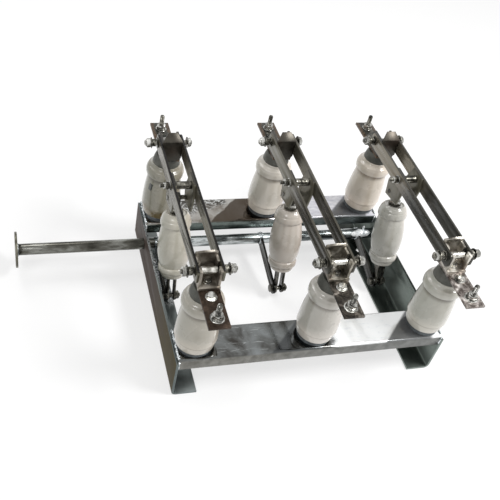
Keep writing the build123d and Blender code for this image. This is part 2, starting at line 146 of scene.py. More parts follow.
def lathe(bm, profile, matrix, steps=64):
    """Revolves (radius, height) points about local Z; ends on the axis where a radius is 0."""
    rings = []
    for radius, height in profile:
        if radius < 1e-7:
            rings.append([bm.verts.new(matrix @ Vector((0, 0, height)))])
        else:
            rings.append(ring_at(bm, matrix, steps, round_at(radius, height)))
    for low, high in zip(rings, rings[1:]):
        for k in range(steps):
            n = (k + 1) % steps
            if len(low) == 1 and len(high) == 1:
                continue
            if len(low) == 1:
                bm.faces.new((low[0], high[n], high[k]))
            elif len(high) == 1:
                bm.faces.new((low[k], low[n], high[0]))
            else:
                bm.faces.new((low[k], low[n], high[n], high[k]))


def hexagon(bm, matrix, flats, height, crown=0.0):
    """A hexagonal nut or head with chamfered corners, rising along local Z."""
    corner = flats / math.sqrt(3)
    chamfer = flats * 0.06
    face_rim = flats / 2 * 0.985
    steps = 48
    rings = []
    for z, limit in ((0, face_rim), (chamfer, corner), (height - chamfer, corner),
                     (height, face_rim)):
        def spot(a):
            flat = flats / 2 / math.cos((a % (math.pi / 3)) - math.pi / 6)
            r = min(flat, limit)
            return (r * math.cos(a), r * math.sin(a), z)
        rings.append(ring_at(bm, matrix, steps, spot))
    skin(bm, rings)
    low_mid = bm.verts.new(matrix @ Vector((0, 0, 0)))
    top_mid = bm.verts.new(matrix @ Vector((0, 0, height + crown)))
    for k in range(steps):
        n = (k + 1) % steps
        bm.faces.new((low_mid, rings[0][n], rings[0][k]))
        bm.faces.new((top_mid, rings[-1][k], rings[-1][n]))


def threaded(bm, matrix, radius, length, pitch, steps=20):
    """A threaded rod: a helical ridge on a round bar, with a chamfered end."""
    rings_per_turn = 4
    rows = max(2, int(length / pitch * rings_per_turn))
    depth = pitch * 0.45
    chamfer = pitch * 1.2
    rings = []
    for i in range(rows + 1):
        z = length * i / rows
        end = min(1.0, (length - z) / chamfer)

        def spot(a):
            turn = (z / pitch - a / (2 * math.pi)) % 1.0
            ridge = 1 - abs(2 * turn - 1)
            r = radius - depth * (1 - ridge) - depth * (1 - end)
            return (r * math.cos(a), r * math.sin(a), z)
        rings.append(ring_at(bm, matrix, steps, spot))
    skin(bm, rings)
    for ring, z in ((rings[0], 0.0), (rings[-1], length)):
        centre = bm.verts.new(matrix @ Vector((0, 0, z)))
        for k in range(steps):
            bm.faces.new((centre, ring[k], ring[(k + 1) % steps]))


def spring(bm, matrix, radius, wire, length, turns, steps=28, sides=8):
    """A helical compression spring between z = 0 and length."""
    total = int(turns * steps)
    rings = []
    for i in range(total + 1):
        a = 2 * math.pi * i / steps
        z = wire + (length - 2 * wire) * i / total
        out = Vector((math.cos(a), math.sin(a), 0))
        centre = out * radius + Vector((0, 0, z))
        rings.append(ring_at(bm, matrix, sides, lambda b: centre + out * (wire * math.cos(b))
                             + Vector((0, 0, wire * math.sin(b)))))
    skin(bm, rings)
    bm.faces.new(rings[0])
    bm.faces.new(rings[-1])


def bead(bm, start, end, size, seed, lump=0.35):
    """A weld bead: a lumpy half-round run between two points."""
    start, end = Vector(start), Vector(end)
    along = end - start
    count = max(6, int(along.length / (size * 0.35)))
    side = along.orthogonal().normalized()
    other = along.normalized().cross(side)
    sides = 10
    rings = []
    for i in range(count + 1):
        t = i / count
        centre = start + along * t
        swell = 0.75 + lump * noise.noise(Vector((t * count * 0.45, seed * 3.1, 0)))
        swell += 0.18 * math.cos(2 * math.pi * i / 3)
        close = min(1.0, 0.25 + 3 * min(t, 1 - t) * count / 6)
        ring = []
        for k in range(sides):
            a = 2 * math.pi * k / sides
            wob = 1 + 0.18 * noise.noise(Vector((k * 0.9, t * count * 0.8, seed)))
            r = size * swell * close * wob
            ring.append(bm.verts.new(centre + (side * math.cos(a) + other * math.sin(a)) * r))
        rings.append(ring)
    skin(bm, rings)
    bm.faces.new(rings[0])
    bm.faces.new(rings[-1])


def ring_bead(bm, centre, radius, size, seed):
    """A weld run all round a bar that lies along X."""
    place = axes_frame(centre, (1, 0, 0))
    steps, sides, lumps = 56, 8, 11
    rings = []
    for i in range(steps):
        a = 2 * math.pi * i / steps
        swell = 0.8 + 0.3 * noise.noise(Vector((math.cos(a) * 2, math.sin(a) * 2, seed)))
        swell += 0.14 * math.cos(a * lumps)

        def spot(b):
            r = radius + size * swell * math.cos(b)
            return (r * math.cos(a), r * math.sin(a), size * swell * math.sin(b))
        rings.append(ring_at(bm, place, sides, spot))
    skin(bm, rings, closed=True)


def bevelled_copy(node, name, width, material, body, edge=None):
    """A copy of a CAD node with rounded edges, which stands for the node; edge gives those edges
    their own material.
    """
    mesh = NODES[node].data.copy()
    obj = bpy.data.objects.new(name, mesh)
    bpy.context.scene.collection.objects.link(obj)
    bm = bmesh.new()
    bm.from_mesh(mesh)
    bmesh.ops.remove_doubles(bm, verts=bm.verts, dist=1e-6)
    bmesh.ops.dissolve_limit(bm, angle_limit=math.radians(0.5), verts=bm.verts, edges=bm.edges)
    for face in bm.faces:
        face.material_index = 0
    sharp = [e for e in bm.edges
             if len(e.link_faces) == 2 and e.calc_face_angle(0) > math.radians(30)]
    bmesh.ops.bevel(bm, geom=sharp, offset=width, segments=2, affect="EDGES",
                    clamp_overlap=True, profile=0.5, material=1 if edge else -1)
    bm.to_mesh(mesh)
    bm.free()
    smooth(obj, 40)
    finish_piece(obj, name, body, material, (node,))
    if edge:
        obj.data.materials.append(edge)
    return obj


# ---- materials
def tone(r, g, b):
    """A colour written as it should render, 0 to 255 a channel."""
    def channel(v):
        v /= 255
        return v / 12.92 if v <= 0.04045 else ((v + 0.055) / 1.055) ** 2.4
    return (channel(r), channel(g), channel(b), 1)


class Finish:
    """One procedural material, painted in the object's own coordinates."""

    def __init__(self, name, metallic=0.0, coat=0.0, coat_roughness=0.08):
        self.material = bpy.data.materials.new(name)
        self.material.use_nodes = True
        self.tree = self.material.node_tree
        self.shader = self.tree.nodes["Principled BSDF"]
        self.shader.inputs["Metallic"].default_value = metallic
        self.shader.inputs["Coat Weight"].default_value = coat
        self.shader.inputs["Coat Roughness"].default_value = coat_roughness
        self.place = self.tree.nodes.new("ShaderNodeTexCoord").outputs["Object"]
        split = self.tree.nodes.new("ShaderNodeSeparateXYZ")
        self.tree.links.new(self.place, split.inputs[0])
        self.x, self.y, self.z = split.outputs
        facing = self.tree.nodes.new("ShaderNodeSeparateXYZ")
        self.tree.links.new(self.tree.nodes.new("ShaderNodeNewGeometry").outputs["Normal"],
                            facing.inputs[0])
        self.face_x, _, self.face_z = facing.outputs

    def put(self, socket, value):
        """Sets a socket to a value or links it to another socket."""
        if isinstance(value, bpy.types.NodeSocket):
            self.tree.links.new(value, socket)
        else:
            socket.default_value = value

    def noise(self, scale, detail=4.0, roughness=0.55, stretch=(1, 1, 1), shift=0.0, warp=0.0):
        """Noise in the object's coordinates; shift gives each use its own part of it."""
        mapping = self.tree.nodes.new("ShaderNodeMapping")
        mapping.inputs["Scale"].default_value = stretch
        mapping.inputs["Location"].default_value = (shift, shift * 1.7, shift * 0.6)
        self.tree.links.new(self.place, mapping.inputs["Vector"])
        node = self.tree.nodes.new("ShaderNodeTexNoise")
        node.inputs["Scale"].default_value = scale
        node.inputs["Detail"].default_value = detail
        node.inputs["Roughness"].default_value = roughness
        node.inputs["Distortion"].default_value = warp
        self.tree.links.new(mapping.outputs[0], node.inputs["Vector"])
        return node.outputs["Fac"]

    def span(self, value, low, high, start=0.0, end=1.0):
        """Maps a value from low..high to start..end, clamped, with a soft step."""
        node = self.tree.nodes.new("ShaderNodeMapRange")
        node.interpolation_type = "SMOOTHSTEP"
        self.put(node.inputs["Value"], value)
        for key, number in (("From Min", low), ("From Max", high), ("To Min", start),
                            ("To Max", end)):
            node.inputs[key].default_value = number
        return node.outputs["Result"]

    def math(self, operation, a, b=0.0):
        node = self.tree.nodes.new("ShaderNodeMath")
        node.operation = operation
        self.put(node.inputs[0], a)
        self.put(node.inputs[1], b)
        return node.outputs[0]

    def plus(self, a, b):
        return self.math("ADD", a, b)

    def minus(self, a, b):
        return self.math("SUBTRACT", a, b)

    def times(self, *values):
        product = values[0]
        for value in values[1:]:
            product = self.math("MULTIPLY", product, value)
        return product

    def mix(self, factor, a, b):
        node = self.tree.nodes.new("ShaderNodeMix")
        node.data_type = "RGBA"
        self.put(node.inputs["Factor"], factor)
        self.put(node.inputs["A"], a)
        self.put(node.inputs["B"], b)
        return next(o for o in node.outputs if o.type == "RGBA")

    def ramp(self, value, stops):
        """A colour ramp from (position, colour) pairs."""
        node = self.tree.nodes.new("ShaderNodeValToRGB")
        node.color_ramp.elements[0].position, node.color_ramp.elements[0].color = stops[0]
        node.color_ramp.elements[1].position, node.color_ramp.elements[1].color = stops[-1]
        for place, colour in stops[1:-1]:
            node.color_ramp.elements.new(place).color = colour
        self.put(node.inputs["Fac"], value)
        return node.outputs["Color"]

    def mottle(self, value, *stops):
        """A ramp whose stops are (position, red, green, blue), 0 to 255 a channel."""
        return self.ramp(value, [(place, tone(*rgb)) for place, *rgb in stops])

    def shades(self, value, colour, lift, low=0.34, high=0.68):
        """A ramp from a darker to a lighter shade of one colour."""
        return self.mottle(value, (low, *(c - lift for c in colour)), (0.5, *colour),
                           (high, *(c + lift for c in colour)))

    def bump(self, height, strength, distance):
        node = self.tree.nodes.new("ShaderNodeBump")
        node.inputs["Strength"].default_value = strength
        node.inputs["Distance"].default_value = distance
        self.put(node.inputs["Height"], height)
        self.tree.links.new(node.outputs["Normal"], self.shader.inputs["Normal"])

    def done(self, colour, roughness):
        """Sets colour and roughness and gives the finished material."""
        self.put(self.shader.inputs["Base Color"], colour)
        self.put(self.shader.inputs["Roughness"], roughness)
        return self.material


def brushed(name, dark, plain, light, roughness=(0.2, 0.42), metallic=0.9, scale=18.0,
            stretch=(1, 1, 1), bump=0.12, painted_highlight_from=None):
    """Dulled metal: three mottled tones, uneven polish and fine scratches."""
    f = Finish(name, metallic)
    patches = f.noise(scale, 5, 0.6, stretch, 3.0, 0.4)
    grime = f.noise(scale * 5, 4, 0.6, stretch, 8.0)
    colour = f.mottle(patches, (0.34, *dark), (0.5, *plain), (0.68, *light))
    colour = f.mix(f.span(grime, 0.56, 0.72, 0.0, 0.55), colour, tone(*dark))
    # Past the given x the metal turns bluer and paler, with painted highlight streaks.
    if painted_highlight_from is not None:
        lit = f.mottle(patches, (0.36, 70, 76, 77), (0.48, 108, 116, 118), (0.58, 218, 224, 225),
                       (0.7, 96, 103, 105))
        colour = f.mix(f.span(f.x, painted_highlight_from, painted_highlight_from + 0.03, 0.0, 0.75), colour, lit)
    f.bump(f.noise(420, 3, 0.6, stretch), bump, 0.0004)
    return f.done(colour, f.span(patches, 0.3, 0.7, *roughness))


# POST is drawn for a post of this height, with its neck going on inside the cap.
POST_TALL = 0.13
post_low, post_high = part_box("post_front_a")
post_scale = (post_high.z - post_low.z) / POST_TALL
# Heights of the two steps of the porcelain, and how far the painted shade below each step
# reaches down.
SHADED_STEPS = ((post_low.z + 0.1054 * post_scale, 0.015), (post_low.z + 0.0198 * post_scale, 0.0036))
PALE_FROM, PALE_TO = post_low.z + 0.046, post_low.z + 0.018
STAIN_TOP = 0.156
PATCH_LEFT_OF = mid("post_rear_a").x - 0.02
PATCH_Y, PATCH_Z = mid("post_rear_a").y - 0.02, post_low.z + 0.08
PATCH_HALF_Y, PATCH_HALF_Z = 0.0046, 0.0085


def porcelain(name, glaze, on_post=True, stained=False, specks=0.0):
    """Pale glaze over a cast body, with clouding and stains; painted light makes right-facing
    sides lighter and warmer, and painted shade darkens left-facing sides, downward faces and
    bands below the steps.
    """
    f = Finish(name, coat=0.9, coat_roughness=0.07)
    r, g, b = glaze
    cloud = f.noise(17, 4, 0.55, (1, 1, 1), 2.0)
    colour = f.mottle(cloud, (0.3, r - 15, g - 15, b - 16), (0.5, r, g, b),
                      (0.72, r + 9, g + 8, b + 7))
    # Painted light: right-facing sides turn lighter and warmer; painted shade darkens
    # left-facing sides.
    painted_lit_side = f.mix(f.span(cloud, 0.3, 0.7), tone(r + 20, g + 14, b + 12),
                 tone(r + 32, g + 25, b + 23))
    colour = f.mix(f.span(f.face_x, 0.1, 1.0, 0.0, 0.9), colour, painted_lit_side)
    colour = f.mix(f.span(f.face_x, -0.35, -1.0, 0.0, 0.7), colour,
                   tone(r - 26, g - 22, b - 22))
    streak = f.noise(30, 4, 0.6, (1, 1, 0.18), 5.0)
    colour = f.mix(f.span(streak, 0.55, 0.75, 0.0, 0.35), colour, tone(r - 40, g - 42, b - 48))
    # Painted shade on faces turned down and in bands just below the steps.
    painted_shade = f.span(f.face_z, -0.25, -0.8, 0.0, 0.8)
    for level, reach in SHADED_STEPS if on_post else ():
        below = f.span(f.z, level - reach, level - reach * 0.3)
        above = f.span(f.z, level + 0.0012, level + 0.0004)
        painted_shade = f.math("MAXIMUM", painted_shade, f.times(below, above, 0.75))
    colour = f.mix(painted_shade, colour, tone(r - 72, g - 74, b - 76))
    if on_post and not stained:
        colour = f.mix(f.span(f.z, PALE_FROM, PALE_TO, 0.0, 0.45), colour,
                       tone(r + 40, g + 36, b + 34))
    if stained:
        reach = f.plus(f.z, f.span(streak, 0.3, 0.7, -0.012, 0.012))
        colour = f.mix(f.span(reach, STAIN_TOP - 0.025, STAIN_TOP, 0.8, 0.0), colour,
                       tone(104, 88, 50))
        near_y = f.math("LESS_THAN", f.math("ABSOLUTE", f.minus(f.y, PATCH_Y)), PATCH_HALF_Y)
        near_z = f.math("LESS_THAN", f.math("ABSOLUTE", f.minus(f.z, PATCH_Z)), PATCH_HALF_Z)
        left = f.math("LESS_THAN", f.x, PATCH_LEFT_OF)
        colour = f.mix(f.times(near_y, near_z, left, 0.95), colour, tone(30, 36, 33))
    if specks:
        dots = f.noise(260, 2, 0.5, (1, 1, 1), 9.0)
        colour = f.mix(f.span(dots, 0.7, 0.74, 0.0, specks), colour, tone(52, 46, 40))
    f.bump(f.noise(75, 3, 0.5), 0.34, 0.0012)
    return f.done(colour, f.span(cloud, 0.3, 0.7, 0.2, 0.36))


def iron(name, dark, plain, light):
    """Matt grey-painted casting."""
    f = Finish(name, metallic=0.25)
    patches = f.noise(26, 5, 0.6, (1, 1, 1), 4.0)
    grain = f.noise(700, 2, 0.5)
    colour = f.mottle(patches, (0.32, *dark), (0.5, *plain), (0.7, *light))
    f.bump(grain, 0.25, 0.0003)
    return f.done(colour, f.span(grain, 0.3, 0.7, 0.42, 0.6))


def rail_finish(name, top_left, top_right, front_left, front_right, shaded, rear=False):
    """Shiny zinc channel: the top's left stretch is dark with a painted reflection, then a pale
    one; a plainer front.

    shaded lists the middles of posts that keep a dark wedge of painted shadow and reflection to
    their left. The rear rail also has crumpled foil and a brown stretch that ends beside its
    second post.
    """
    f = Finish(name, metallic=1.0)
    patches = f.noise(13, 6, 0.62, (1, 1, 1), 6.0, 0.6)
    fine = f.noise(60, 5, 0.6, (1, 2.2, 1), 1.0)
    # The top's left stretch: a dark painted reflection with pale streaks; the rear rail adds
    # crumpled foil and a brown stretch.
    r, g, b = top_left
    top_tone = f.mottle(patches, (0.36, r - 42, g - 46, b - 48), (0.5, r, g, b),
                    (0.66, r + 26, g + 28, b + 30))
    line = f.noise(120, 4, 0.6, (0.25, 2.0, 1), 14.0, 0.8)
    top_tone = f.mix(f.span(line, 0.6, 0.66, 0.0, 0.6), top_tone, tone(178, 181, 181))
    if rear:
        foil = f.noise(26, 3, 0.6, (1, 1, 1), 21.0, 3.0)
        shine = f.mottle(foil, (0.4, 58, 56, 52), (0.47, 150, 150, 147), (0.5, 242, 244, 244),
                         (0.53, 120, 119, 115), (0.62, 70, 68, 64))
        where = f.span(f.noise(9, 3, 0.5, (1, 1, 1), 31.0), 0.48, 0.56, 0.0, 0.9)
        top_tone = f.mix(where, top_tone, shine)
        near = f.plus(f.x, f.span(patches, 0.3, 0.7, -0.005, 0.005))
        near = f.minus(near, f.times(f.minus(f.y, 0.26), 1.1))
        top_tone = f.mix(f.span(near, -0.021, -0.017, 0.0, 0.92), top_tone, tone(74, 65, 56))
    r, g, b = top_right
    bright = f.mottle(fine, (0.3, r - 16, g - 15, b - 12), (0.42, r, g, b), (0.9, 255, 255, 255))
    change = 0.03
    edge = f.plus(f.x, f.span(patches, 0.3, 0.7, -0.03, 0.03))
    top = f.mix(f.span(edge, change - 0.02, change + 0.02), top_tone, bright)
    # Painted shadow and reflection: a dark wedge on the top to the left of each post in shaded.
    for post in shaded:
        beside = f.minus(f.x, post.x)
        line = f.minus(beside, f.minus(f.y, post.y))
        painted_wedge = f.times(f.span(line, -0.064, -0.056), f.span(beside, 0.014, 0.002), 0.88)
        top = f.mix(painted_wedge, top, tone(78, 80, 81))
    r, g, b = front_left
    face = f.mottle(fine, (0.3, r - 22, g - 22, b - 22), (0.7, r + 14, g + 14, b + 14))
    r, g, b = front_right
    face_right = f.mottle(fine, (0.3, r - 18, g - 18, b - 18), (0.7, r + 12, g + 12, b + 12))
    face = f.mix(f.span(f.x, -0.22, 0.24), face, face_right)
    upward = f.span(f.face_z, 0.25, 0.8)
    f.bump(f.noise(210, 3, 0.7, (1, 9, 1), 2.0), 0.05, 0.0003)
    rough = f.plus(f.span(patches, 0.3, 0.7, 0.06, 0.12),
                   f.span(f.face_z, 0.25, 0.8, 0.16, 0.0))
    rough = f.plus(rough, f.span(f.x, 0.03, 0.12, 0.0, 0.08))
    pale = f.times(f.span(edge, change, change + 0.03), upward)
    f.put(f.shader.inputs["Metallic"], f.span(pale, 0.0, 1.0, 1.0, 0.4))
    return f.done(f.mix(upward, face, top), rough)


def member_finish(name, outer, outer_front, inner, flange, crumpled=False):
    """Rolled angle with dulled zinc: each face in its own tone, the outside matt."""
    f = Finish(name)
    f.shader.inputs["Specular IOR Level"].default_value = 0.2
    patches = f.noise(9, 5, 0.6, (1, 0.6, 1.6), 6.0, 0.5)
    fine = f.noise(85, 4, 0.6, (1, 1, 1), 1.0)
    side = f.mix(f.span(f.y, -0.23, 0.05), f.shades(patches, outer_front, 14),
                 f.shades(patches, outer, 10))
    web_out = f.math("GREATER_THAN", f.times(f.face_x, f.math("SIGN", f.x)), 0.5)
    upward = f.span(f.face_z, 0.4, 0.8)
    colour = f.mix(web_out, f.shades(patches, inner, 14), side)
    colour = f.mix(upward, colour, f.shades(patches, flange, 26))
    colour = f.mix(f.span(fine, 0.64, 0.75, 0.0, 0.25), colour, tone(150, 152, 148))
    if crumpled:
        foil = f.noise(70, 3, 0.6, (1, 1, 0.7), 21.0, 3.5)
        shine = f.mottle(foil, (0.38, 30, 34, 34), (0.47, 120, 126, 128), (0.5, 246, 248, 248),
                         (0.54, 66, 72, 74), (0.64, 30, 34, 34))
        reach = f.times(f.span(f.y, -0.01, 0.005), f.span(f.y, 0.17, 0.15))
        colour = f.mix(f.times(reach, upward), colour, shine)
    f.bump(f.noise(240, 3, 0.6), 0.12, 0.0004)
    f.put(f.shader.inputs["Metallic"], f.span(web_out, 0.0, 1.0, 0.6, 0.05))
    rough = f.plus(f.span(patches, 0.3, 0.7, 0.24, 0.42), f.times(web_out, 0.25))
    return f.done(colour, rough)


def terminal_finish(name):
    """Tarnished flat copper: red-brown at the first phase, mottled pale at the third."""
    f = Finish(name, metallic=0.85)
    patches = f.noise(60, 5, 0.65, (1, 1, 1), 3.0, 0.6)
    fine = f.noise(240, 3, 0.6, (1, 1, 1), 7.0)
    first = f.mottle(patches, (0.3, 38, 30, 24), (0.5, 56, 46, 38), (0.75, 84, 70, 60))
    second = f.mottle(patches, (0.34, 34, 31, 28), (0.5, 66, 62, 56), (0.62, 120, 113, 105),
                      (0.7, 196, 188, 180))
    third = f.mottle(patches, (0.36, 78, 70, 65), (0.5, 140, 133, 128), (0.64, 226, 220, 215))
    front = f.mix(f.span(f.x, -0.13, -0.12), first,
                  f.mix(f.span(f.x, 0.12, 0.13), second, third))
    across = f.math("PINGPONG", f.plus(f.x, 1.0), 0.125)
    rim = f.span(f.plus(across, f.span(patches, 0.3, 0.7, -0.002, 0.002)), 0.0118, 0.015)
    grey = f.mottle(patches, (0.3, 40, 42, 38), (0.52, 70, 70, 65), (0.72, 122, 119, 112))
    rust = f.mottle(fine, (0.35, 62, 51, 41), (0.65, 102, 86, 70))
    colour = f.mix(f.span(f.y, -0.01, 0.01), front, f.mix(rim, grey, rust))
    f.bump(fine, 0.2, 0.0004)
    return f.done(colour, f.span(patches, 0.3, 0.7, 0.24, 0.42))


def blade_finish(name, rear, front, edge, metallic=0.6):
    """Polished hard copper gone grey-brown, darker towards the jaw, with dark narrow edges."""
    f = Finish(name, metallic)
    patches = f.noise(9, 3, 0.5, (1, 0.5, 1), 3.0, 0.3)
    fine = f.noise(150, 3, 0.6, (1, 0.15, 1), 5.0)
    along = f.plus(f.y, f.span(patches, 0.3, 0.7, -0.02, 0.02))
    colour = f.mix(f.span(along, -0.03, 0.07), f.shades(patches, front, 7, 0.33, 0.7),
                   f.shades(patches, rear, 7, 0.33, 0.7))
    colour = f.mix(f.span(fine, 0.64, 0.76, 0.0, 0.06), colour, tone(150, 145, 134))
    colour = f.mix(f.span(f.face_z, 0.5, 0.8), colour, f.shades(patches, edge, 8, 0.33, 0.7))
    return f.done(colour, f.span(patches, 0.3, 0.7, 0.22, 0.32))


def contact_finish(name, dark, plain, light, red, top_tone=0.0):
    """Bent copper with dark tarnish; a share above 0 lightens the leaning tab above the blades.
    """
    f = Finish(name, metallic=0.75)
    patches = f.noise(34, 5, 0.6, (1, 1, 1), 3.0, 0.5)
    colour = f.mottle(patches, (0.32, *dark), (0.5, *plain), (0.72, *light))
    reddish = f.span(f.noise(22, 3, 0.5, (1, 1, 1), 11.0), 0.54, 0.68, 0.0, 0.5)
    colour = f.mix(reddish, colour, tone(*red))
    if top_tone:
        colour = f.mix(f.times(f.span(f.z, 0.3245, 0.328), top_tone), colour, tone(*light))
    f.bump(f.noise(220, 3, 0.6, (1, 1, 1), 5.0), 0.1, 0.0003)
    return f.done(colour, f.span(patches, 0.3, 0.7, 0.28, 0.42))


M = {
    "zinc": brushed("bright_zinc", (78, 78, 75), (156, 155, 150), (236, 236, 232), (0.12, 0.24),
                    scale=55, bump=0.06),
    "zinc_dark": brushed("dulled_zinc", (32, 32, 29), (84, 82, 75), (172, 170, 160),
                         (0.14, 0.28), scale=60, bump=0.06),
    "thread": brushed("worn_thread", (38, 38, 36), (104, 103, 98), (238, 238, 234), (0.12, 0.24),
                      scale=110, bump=0.06),
    "spring": brushed("spring_wire", (30, 30, 27), (86, 84, 76), (180, 178, 168), (0.2, 0.35),
                      scale=110, bump=0.1),
    "sleeve": brushed("spacer_sleeve", (140, 138, 130), (206, 204, 197), (248, 247, 243),
                      (0.16, 0.3), scale=70, bump=0.1),
    "weld": brushed("weld_bead", (66, 72, 74), (170, 176, 178), (244, 248, 250), (0.14, 0.3),
                    scale=120, bump=0.3),
    "leaf": brushed("bright_weld", (176, 182, 186), (236, 240, 242), (253, 254, 254),
                    (0.14, 0.28), metallic=0.4, scale=90, bump=0.3),
    "edge_steel": brushed("worn_steel_edge", (84, 86, 86), (158, 160, 160), (226, 228, 228),
                          (0.2, 0.34), scale=40),
    # Pale steel for rounded edges, standing for a painted highlight.
    "edge_steel_highlight": brushed("steel_edge_highlight", (150, 152, 152), (206, 208, 208), (246, 247, 247),
                          (0.16, 0.28), scale=40),
    "edge_copper": brushed("worn_copper_edge", (34, 31, 27), (62, 58, 51), (120, 114, 104),
                           (0.18, 0.3), scale=50),
    # Pale copper for rounded edges: polish with a painted highlight.
    "edge_polish_highlight": brushed("polished_copper_edge_highlight", (104, 99, 90), (176, 171, 162),
                           (236, 233, 228), (0.16, 0.28), scale=50),
    "fitting": brushed("rod_fitting", (34, 34, 30), (66, 64, 58), (126, 124, 116), (0.22, 0.4),
                       scale=60),
    "shaft": brushed("shaft_steel", (50, 49, 44), (85, 84, 78), (146, 147, 142), (0.12, 0.22),
                     scale=60, stretch=(0.25, 1, 1), painted_highlight_from=-0.24),
    "flange": brushed("flange_steel", (58, 56, 48), (86, 84, 73), (122, 120, 109), (0.26, 0.42),
                      scale=30),
    "crank": brushed("crank_steel", (24, 24, 22), (38, 38, 35), (58, 58, 54), (0.2, 0.34),
                     scale=34),
    "cap": iron("cap_iron", (52, 53, 49), (74, 75, 69), (98, 99, 93)),
    "base": iron("base_iron", (48, 52, 54), (76, 81, 84), (112, 118, 121)),
    "front_rail": rail_finish("front_rail_zinc", (110, 112, 111), (253, 255, 255),
                              (120, 119, 114), (118, 119, 117),
                              (mid("post_front_b"), mid("post_front_c"))),
    "rear_rail": rail_finish("rear_rail_zinc", (152, 148, 142), (204, 204, 212),
                             (104, 113, 109), (112, 119, 118), (mid("post_rear_c"),), rear=True),
    "member_left": member_finish("left_member_zinc", (62, 52, 46), (70, 62, 33),
                                 (108, 116, 116), (106, 112, 111), crumpled=True),
    "member_right": member_finish("right_member_zinc", (84, 84, 79), (96, 96, 89),
                                  (118, 127, 122), (46, 52, 48)),
    "terminal": terminal_finish("terminal_copper"),
    "blade_a": blade_finish("blade_copper_a", (92, 87, 74), (96, 93, 80), (20, 18, 16)),
    "blade_b": blade_finish("blade_copper_b", (100, 97, 85), (68, 66, 59), (82, 79, 70)),
    "blade_c": blade_finish("blade_copper_c", (128, 122, 109), (66, 66, 61), (62, 60, 54)),
    "plate": blade_finish("plate_copper", (100, 97, 84), (96, 93, 80), (44, 42, 36),
                          metallic=0.35),
    "hinge_contact": contact_finish("hinge_copper", (34, 31, 27), (58, 55, 49), (74, 71, 64),
                                    (62, 50, 43), top_tone=0.4),
    # The second and third jaws' pale tones are partly their own bright copper, partly painted
    # light lifted to brighten their shaded insides.
    "jaw_a": contact_finish("jaw_copper_a", (68, 63, 56), (130, 124, 114), (196, 189, 178),
                            (94, 77, 66)),
    "jaw_b": contact_finish("jaw_copper_b", (60, 56, 49), (132, 127, 116), (232, 227, 216),
                            (96, 80, 68)),
    "jaw_c": contact_finish("jaw_copper_c", (84, 80, 72), (186, 181, 171), (250, 247, 240),
                            (128, 112, 100)),
}
POST_GLAZES = {"front_a": (166, 161, 149), "front_b": (184, 180, 172),
               "front_c": (176, 174, 164), "rear_a": (138, 134, 119),
               "rear_b": (206, 200, 189), "rear_c": (202, 192, 178)}
ROD_GLAZES = {"a": (180, 176, 163), "b": (180, 172, 162), "c": (174, 172, 164)}
for spot, glaze in POST_GLAZES.items():
    M[f"post_{spot}"] = porcelain(f"glaze_{spot}", glaze, stained=spot == "rear_a")
for phase, glaze in ROD_GLAZES.items():
    M[f"rod_insulator_{phase}"] = porcelain(f"glaze_rod_{phase}", glaze, on_post=False,
                                            specks=0.6 if phase == "c" else 0.0)


# ---- porcelain
def arc(start, through, end, count=14):
    """Points of a parabola through three (radius, height) points, without the first."""
    made = []
    for i in range(1, count + 1):
        t = i / count
        a, b, c = (1 - t) * (1 - 2 * t), 4 * t * (1 - t), t * (2 * t - 1)
        made.append((a * start[0] + b * through[0] + c * end[0],
                     a * start[1] + b * through[1] + c * end[1]))
    return made


def chain(start, *steps):
    """A profile from a start point; a step is a point or a (through, end) pair."""
    points = [start]
    for step in steps:
        if isinstance(step[0], tuple):
            points += arc(points[-1], step[0], step[1])
        else:
            points.append(step)
    return points


POST = chain((0.0, 0.0), (0.0362, 0.0), ((0.0382, 0.0006), (0.039, 0.0032)),
             ((0.0402, 0.011), (0.0409, 0.0186)), (0.0399, 0.0198), (0.0412, 0.0204),
             ((0.0424, 0.0216), (0.0424, 0.025)), ((0.0402, 0.065), (0.035, 0.103)),
             ((0.0341, 0.1046), (0.0347, 0.1054)), (0.0386, 0.1056),
             ((0.0401, 0.1062), (0.0406, 0.109)), ((0.0408, 0.116), (0.0392, 0.1206)),
             ((0.0378, 0.1238), (0.035, 0.1258)), ((0.0322, 0.1282), (0.0308, 0.1306)),
             ((0.03, 0.1332), (0.0288, 0.134)), (0.0, 0.134))
for row, phase in POSTS:
    node = f"post_{row}_{phase}"
    post = mid(node)
    bm = bmesh.new()
    lathe(bm, [(r, z * post_scale) for r, z in POST],
          Matrix.Translation((post.x, post.y, post_low.z)), 96)
    finish_mesh(bm, 50, f"porcelain_{row}_{phase}", "frame", M[node], (node,))


def ridged(low_radius, high_radius, low, high, lines, depth, swell=0.0):
    """A turned side between two heights with faint tool lines."""
    points = []
    count = lines * 6
    for i in range(count + 1):
        t = i / count
        r = low_radius + (high_radius - low_radius) * t + swell * 4 * t * (1 - t)
        groove = 0.5 + 0.5 * math.cos(2 * math.pi * t * lines)
        r -= depth * groove * (0.4 + 0.6 * math.sin(t * 9) ** 2)
        points.append((r, low + (high - low) * t))
    return points


caps = bmesh.new()
bases = bmesh.new()
cap_low, cap_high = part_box("post_caps")
base_low, base_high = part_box("post_bases")
cap_tall, base_tall = cap_high.z - cap_low.z, base_high.z - base_low.z
for row, phase in POSTS:
    post = mid(f"post_{row}_{phase}")
    side = ridged(0.0288, 0.0238, 0.005, cap_tall - 0.0008, 6, 0.00022, 0.001)
    lathe(caps, [(0, 0), (0.0282, 0), (0.0289, 0.0008), *side, (0.0232, cap_tall),
                 (0, cap_tall)], Matrix.Translation((post.x, post.y, cap_low.z)), 72)
    side = ridged(0.035, 0.0348, 0.0006, base_tall - 0.0022, 4, 0.001)
    lathe(bases, [(0, 0), (0.0345, 0), *side, (0.034, base_tall - 0.0004),
                  (0.0334, base_tall), (0, base_tall)],
          Matrix.Translation((post.x, post.y, base_low.z)), 72)
finish_mesh(caps, 50, "cast_caps", "frame", M["cap"], ("post_caps",))
finish_mesh(bases, 50, "cast_bases", "frame", M["base"], ("post_bases",))

